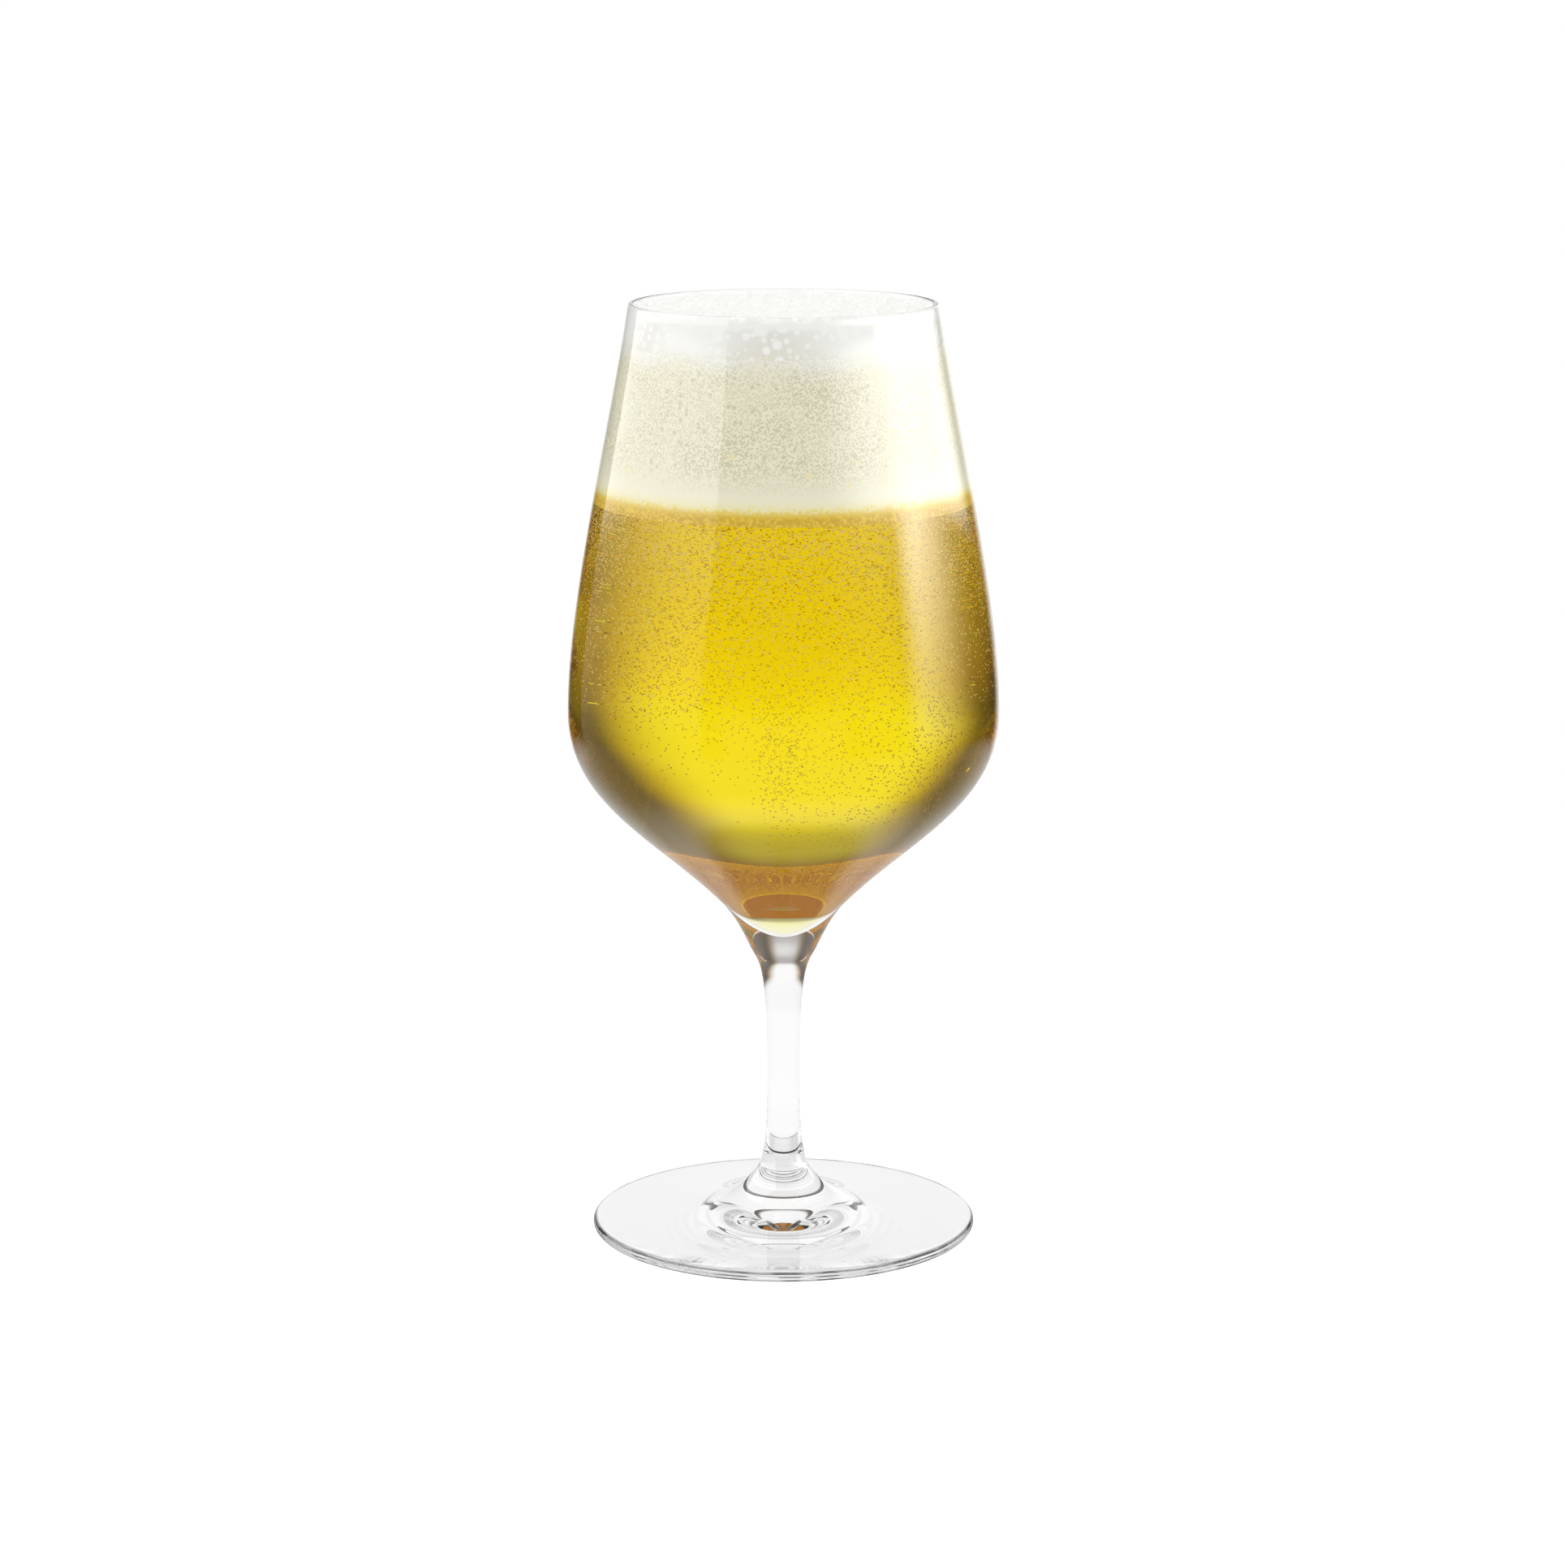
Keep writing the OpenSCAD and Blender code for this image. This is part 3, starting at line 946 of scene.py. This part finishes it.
# %% What is seen through the drink
BACKDROPS = ((0, 1.0), (-100, 0.85), (135, 0.85))
HALF_WIDTHS = ((-20, 26), (-10, 27.5), (-2, 29.5), (2, 28), (6, 23.5), (10, 20.5), (14, 17), (25, 16))
WIDEST = 40
GLOW_FALL, WARM_GLOW, WARM_EDGE = (0.47, 1.53), (0.2, 1.05), (1, 0.82, 0.55)
BACKDROP_SHIFT, SHIFT_RISE = 3, (-10, 0)
SIDE_BEARING = (42, 58)
SKY_LEVELS = ((10, 1.0), (14, 0.86), (18, 0.52), (21, 0.42), (27, 0.38), (38, 0.15))
ROOM_COLOURS = (
    (-24, (0.38, 0.25, 0.15)),
    (-14, (0.31, 0.2, 0.13)),
    (-9, (0.22, 0.145, 0.1)),
    (-3, (0.13, 0.095, 0.08)),
    (3, (0.12, 0.095, 0.08)),
    (40, (0.13, 0.12, 0.11)),
)
SIDE_COLOURS = (
    (-25, (0.34, 0.23, 0.13)),
    (-19, (0.23, 0.14, 0.07)),
    (-14, (0.16, 0.1, 0.06)),
    (-5, (0.06, 0.045, 0.03)),
    (40, (0.08, 0.07, 0.06)),
)
BACKDROP_COLOURS = (
    (-24, (0.68, 0.5, 0.3)),
    (-18, (0.8, 0.67, 0.43)),
    (-13, (0.95, 0.87, 0.66)),
    (-7, (1, 1, 0.92)),
    (-3, (1, 1, 1)),
)


def through_drink(bearing, rise):
    """Backdrops in a dim room, under a dark ceiling.

    A backdrop's glow falls off with the bearing from its middle, the sooner the higher one looks,
    and its edge is warm."""
    reach = by_rise(rise, [(at, width / WIDEST) for at, width in HALF_WIDTHS]) * WIDEST
    shift = BACKDROP_SHIFT * rise.between(*SHIFT_RISE)
    glow = 0
    for middle, level in BACKDROPS:
        off = abs(bearing.math("WRAP", bearing - middle + shift, 180, -180)) / reach
        glow = (level * (1 - off.between(*GLOW_FALL))).most(glow)
    sides = abs(bearing).between(*SIDE_BEARING)
    room = sides.mix(by_rise(rise, ROOM_COLOURS), by_rise(rise, SIDE_COLOURS))
    backdrop = glow.between(*WARM_GLOW).mix(WARM_EDGE, by_rise(rise, BACKDROP_COLOURS))
    return (glow * by_rise(rise, SKY_LEVELS)).mix(room, backdrop)


print("backdrops at", [middle for middle, level in BACKDROPS], "degrees")

# %% [markdown]
# ## Lights in the mirror
# The outside of the bowl is a mirror too. A broad panel on the left lays a veil with a hard edge
# over that side, a tall strip on the right draws the bright line down the wall, and the upper part
# of both is a brighter box, which whitens the foam more than the beer.

# %% What the glass mirrors
DIM = 0.03
BEHIND_MIDDLE, BEHIND_FALL, BEHIND_TOP = 4, (10, 26), (25, 50)
PANEL_START, PANEL_END, PANEL_TILT, TILT_RISE = (-137, -135), (-45, -43), 3, (3, 10)
VEIL_LEVELS = ((-30, 0.25), (-12, 0.22), (-3, 0.35), (3, 0.5), (8, 0.7), (11, 0.8))
BOX_BEARING, BOX_EDGE, BOX_SOFT, BOX_TOP = 140, (11.9, -0.0724, -0.000628), 0.7, (14, 18)
PANEL_BOX, BESIDE_BOX = 1.3, 4.6
STRIP_FRONT, STRIP_BACK, STRIP_LEVEL = (98, 115), (42, 97), 3.3
STRIP_HIGHEST, STRIP_FALL = 7, 8.2
STRIP_IN_BOX, STRIP_OVER_BOX, BESIDE_OVER_BOX = 0.65, 0.8, 0.85
BESIDE_BACK, BESIDE_FRONT = (30, 60), (112, 160)
BESIDE_LEVEL, BESIDE_HIGHEST, BESIDE_MIDDLE, BESIDE_FALL = 0.4, 12, 9, 5
TABLE_LEVEL, TABLE_BEARING, TABLE_TOP = 0.2, (144, 152), (-8, 0)


def in_mirror(bearing, rise):
    """The sum of a glow behind, a panel on the left, a strip and a glow beside it, and a table.

    The box that starts above a curved edge, a square law of the bearing, is added to the panel and
    to the glow beside the strip, and it ends above the rises that the front of the glass mirrors."""
    behind = (1 - abs(bearing - BEHIND_MIDDLE).between(*BEHIND_FALL)) * (1 - rise.between(*BEHIND_TOP))
    turned_in = BOX_BEARING - abs(bearing)
    box_edge = BOX_EDGE[0] + BOX_EDGE[1] * turned_in + BOX_EDGE[2] * turned_in * turned_in
    upper = (rise - box_edge).between(-BOX_SOFT, BOX_SOFT)
    over = rise.between(*BOX_TOP)

    tilted = bearing + PANEL_TILT * rise.between(*TILT_RISE)
    panel = tilted.between(*PANEL_START) * (1 - bearing.between(*PANEL_END))
    panel = panel * (by_rise(rise, VEIL_LEVELS) + PANEL_BOX * upper)

    fade = bearing.between(*STRIP_BACK)
    strip = (1 - bearing.between(*STRIP_FRONT)) * fade * fade * STRIP_LEVEL
    strip = strip * rise.math("EXPONENT", rise.least(STRIP_HIGHEST) / STRIP_FALL)
    strip = strip * (1 - STRIP_IN_BOX * upper) * (1 - STRIP_OVER_BOX * over)

    beside = bearing.between(*BESIDE_BACK) * (1 - bearing.between(*BESIDE_FRONT))
    climb = rise.math("EXPONENT", (rise.least(BESIDE_HIGHEST) - BESIDE_MIDDLE) / BESIDE_FALL)
    beside = beside * (BESIDE_LEVEL * climb + BESIDE_BOX * upper) * (1 - BESIDE_OVER_BOX * over)

    table = TABLE_LEVEL * abs(bearing).between(*TABLE_BEARING) * (1 - rise.between(*TABLE_TOP))
    return DIM + behind + panel + strip + beside + table


print("the box starts at", BOX_EDGE[0], "degrees")

# %% [markdown]
# ## World
# The eye sees plain white. Mirrored rays see the lights and refracted rays see the room. A ray that
# has gone through little glass and no beer, as in the stem and the foot, sees white below and high
# behind, as a clear glass on a white table does.

# %% World
FRONT_BEARING, FRONT_DIM = (95, 160), 0.06
BARE_DEPTH = (4.2, 4.8)
BARE_LOW, BARE_HIGH, BARE_BEARING = (-6, -1), (33, 37), (50, 80)


def studio_world():
    """White to the eye, lights to a mirrored ray, backdrops and a room to a refracted one."""
    world = bpy.data.worlds.new("studio")
    world.use_nodes = True
    world.node_tree.nodes.clear()
    root = Socket(world.node_tree)
    bearing, rise = bearing_and_rise(root)
    ambient = 1.0 - FRONT_DIM * abs(bearing).between(*FRONT_BEARING)
    path = root.node("LightPath", out="Is Camera Ray")
    soft = path.other("Is Glossy Ray").mix(ambient, in_mirror(bearing, rise))
    bare = 1 - path.other("Transmission Depth").between(*BARE_DEPTH)
    high_behind = rise.between(*BARE_HIGH) * (1 - abs(bearing).between(*BARE_BEARING))
    white = bare * high_behind.most(1 - rise.between(*BARE_LOW))
    seen = white.mix(through_drink(bearing, rise), (1, 1, 1))
    through = path.other("Is Transmission Ray").mix(soft, seen)
    colour = path.mix(through, (1, 1, 1))
    root.node("OutputWorld", None, {0: root.node("Background", None, {0: colour})}, None)
    return world


scene.world = studio_world()
print("world:", scene.world.name)

# %% [markdown]
# ## Lamps
# Two flat lamps shape the foam and the froth, which aren't clear: a broad weak one on the left and
# a narrow one on the right. The glass doesn't mirror them, because the world already holds the
# lights that it mirrors.

# %% Lamps
LAMP_AIM_Z = 120 * MM
LAMPS = (("left_panel", -90, 12, 0.9, 1.2, 1.0, 0.3), ("right_strip", 92, 10, 0.8, 0.4, 0.9, 0.95))


def lamp(name, azimuth, elevation, distance, width, height, radiance):
    """A flat lamp that faces the glass, from a bearing about the camera's own direction.

    Its power is its radiance times its area times pi."""
    light = bpy.data.lights.new(name, "AREA")
    light.shape = "RECTANGLE"
    light.size, light.size_y = width, height
    light.energy = radiance * width * height * math.pi
    piece = bpy.data.objects.new(name, light)
    a, e = math.radians(azimuth), math.radians(elevation)
    away = np.array([math.sin(a) * math.cos(e), -math.cos(a) * math.cos(e), math.sin(e)])
    piece.location = distance * away + np.array([0, 0, LAMP_AIM_Z])
    piece.rotation_euler = (math.pi / 2 - e, 0, a)
    piece.visible_camera = False
    piece.visible_transmission = False
    piece.visible_glossy = False
    scene.collection.objects.link(piece)
    return piece


print("lamps:", [lamp(*values).name for values in LAMPS])

# %% [markdown]
# ## Floor
# The floor is white to the eye, as in the photograph, and it still takes the soft shadow of the
# glass: part of its white is lit and part is its own. Seen through the drink it is brown far to the
# sides, which warms the lower edges of the beer, and in the mirror it is bright only round the foot.

# %% Floor finish
FLOOR_R, FLOOR_FADE = 0.45, 0.28
FLOOR_GREY, FLOOR_OWN = (0.5, 0.5, 0.5, 1), 0.7
FAR_TABLE, FAR_FROM, FAR_BEHIND = (0.34, 0.23, 0.13), (150 * MM, 250 * MM), (0.75, 0.93)
NEAR_FROM, NEAR_TO, BEHIND_SHARE = (36 * MM, 58 * MM), (60 * MM, 120 * MM), (0.3, 0.9)
MIRROR_DIM, MIRROR_NEAR, MIRROR_BEHIND = 0.35, 0.65, 0.65
FOOT_SHADE, SHADE_END = 0.84, (34 * MM, 48 * MM)


def floor_finish():
    """White that is part lit and part its own, and that ends softly.

    Through glass it is white near by and behind, brown far to the sides and shaded under the foot.
    In the mirror of glass it is bright only near by and behind."""
    material, root = new_material("white_table")
    x = root.node("SeparateXYZ", None, {0: root.node("TexCoord", out="Object")}, "X")
    y = x.other("Y")
    away = root.math("SQRT", x * x + y * y)
    backwards = y / away
    path = root.node("LightPath", out="Is Camera Ray")
    lit = root.node("BsdfDiffuse", None, {"Color": FLOOR_GREY})
    white = root.node("AddShader", None, {0: lit, 1: own_light(root, FLOOR_OWN)})

    # painted shadow: in the mirror the floor stays dim under the foot and grows bright from 36 to 58 mm
    # out
    clear_of_foot = away.between(*NEAR_FROM)
    near = clear_of_foot * (1 - away.between(*NEAR_TO))
    behind = MIRROR_BEHIND * backwards.between(*BEHIND_SHARE) * clear_of_foot
    mirrored = own_light(root, MIRROR_DIM + MIRROR_NEAR * near.most(behind))

    bare = 1 - path.other("Transmission Depth").between(*BARE_DEPTH)
    pale = (1 - away.between(*FAR_FROM)).most(backwards.between(*FAR_BEHIND)).most(bare)
    # painted shadow: through glass the floor's own light is lowered under the foot
    shade = FOOT_SHADE + (1 - FOOT_SHADE) * away.between(*SHADE_END)
    through = own_light(root, shade, pale.mix(FAR_TABLE, (1, 1, 1)))

    soft = path.other("Is Glossy Ray").blend(lit, mirrored)
    soft = path.other("Is Transmission Ray").blend(soft, through)
    edge = away.between(FLOOR_FADE, FLOOR_R)
    return finished(material, edge.blend(path.blend(soft, white), root.node("BsdfTransparent")))


table_finish = floor_finish()
print("floor finish:", table_finish.name)

# %% Floor
FLOOR_STEPS, FLOOR_DROP = 96, 0.05 * MM

mesh = bpy.data.meshes.new("floor")
a = np.arange(FLOOR_STEPS) * 2 * np.pi / FLOOR_STEPS
ring = np.stack([FLOOR_R * np.cos(a), FLOOR_R * np.sin(a), 0 * a - FLOOR_DROP], 1)
mesh.from_pydata(ring.tolist(), [], [list(range(FLOOR_STEPS))])
mesh.materials.append(table_finish)
floor = bpy.data.objects.new("floor", mesh)
scene.collection.objects.link(floor)
print("floor of", FLOOR_R, "m radius")

# %% [markdown]
# ## Cards round the foot
# A photographer shapes clear glass with cards: a white one makes it clean, and a thin black one
# draws a dark line in it. Here a leaning white card stands round the foot, open to the front, and a
# narrow black ring draws the line at the bottom of the stem. Only rays inside the glass see them.

# %% Cards round the foot
WHITE_CARD, WHITE_LEVEL = ((78 * MM, 0), (58 * MM, 42 * MM)), 1.0
BLACK_CARD, BLACK_LEVEL = ((16 * MM, 5.2 * MM), (16 * MM, 6.4 * MM)), 0.05
CARD_OPEN, CARD_STEPS = math.radians(50), 96


def card(name, line, level):
    """A line of two (r, z) points carried round the foot, open towards the camera.

    It has a plain light of its own, and only what looks through the glass can see it."""
    material, root = new_material(name)
    a = np.linspace(FRONT + CARD_OPEN, FRONT + 2 * np.pi - CARD_OPEN, CARD_STEPS + 1)
    points = np.vstack([np.stack([r * np.cos(a), r * np.sin(a), 0 * a + z], 1) for r, z in line])
    j = np.arange(CARD_STEPS)
    n = CARD_STEPS + 1
    mesh = bpy.data.meshes.new(name)
    mesh.from_pydata(points.tolist(), [], np.stack([j, j + 1, j + n + 1, j + n], 1).tolist())
    mesh.materials.append(finished(material, own_light(root, level)))
    piece = bpy.data.objects.new(name, mesh)
    piece.visible_camera = False
    piece.visible_diffuse = False
    piece.visible_glossy = False
    piece.visible_shadow = False
    scene.collection.objects.link(piece)
    print(name, "round the foot")


card("white_card", WHITE_CARD, WHITE_LEVEL)
card("black_card", BLACK_CARD, BLACK_LEVEL)

# %% [markdown]
# ## Picture settings
# A ray may cross the wall, the beer and many beads before it leaves the glass, so it is allowed
# many bounces. Light that glass would gather into bright specks is left out, because it is slow to
# clean up and the soft studio has hardly any.

# %% Picture settings
BOUNCES = 32

scene.view_settings.view_transform = "Standard"
scene.cycles.max_bounces = BOUNCES
scene.cycles.transmission_bounces = BOUNCES
scene.cycles.glossy_bounces = BOUNCES
scene.cycles.transparent_max_bounces = 2 * BOUNCES
scene.cycles.caustics_refractive = False
scene.cycles.caustics_reflective = False
print("bounces:", scene.cycles.max_bounces)
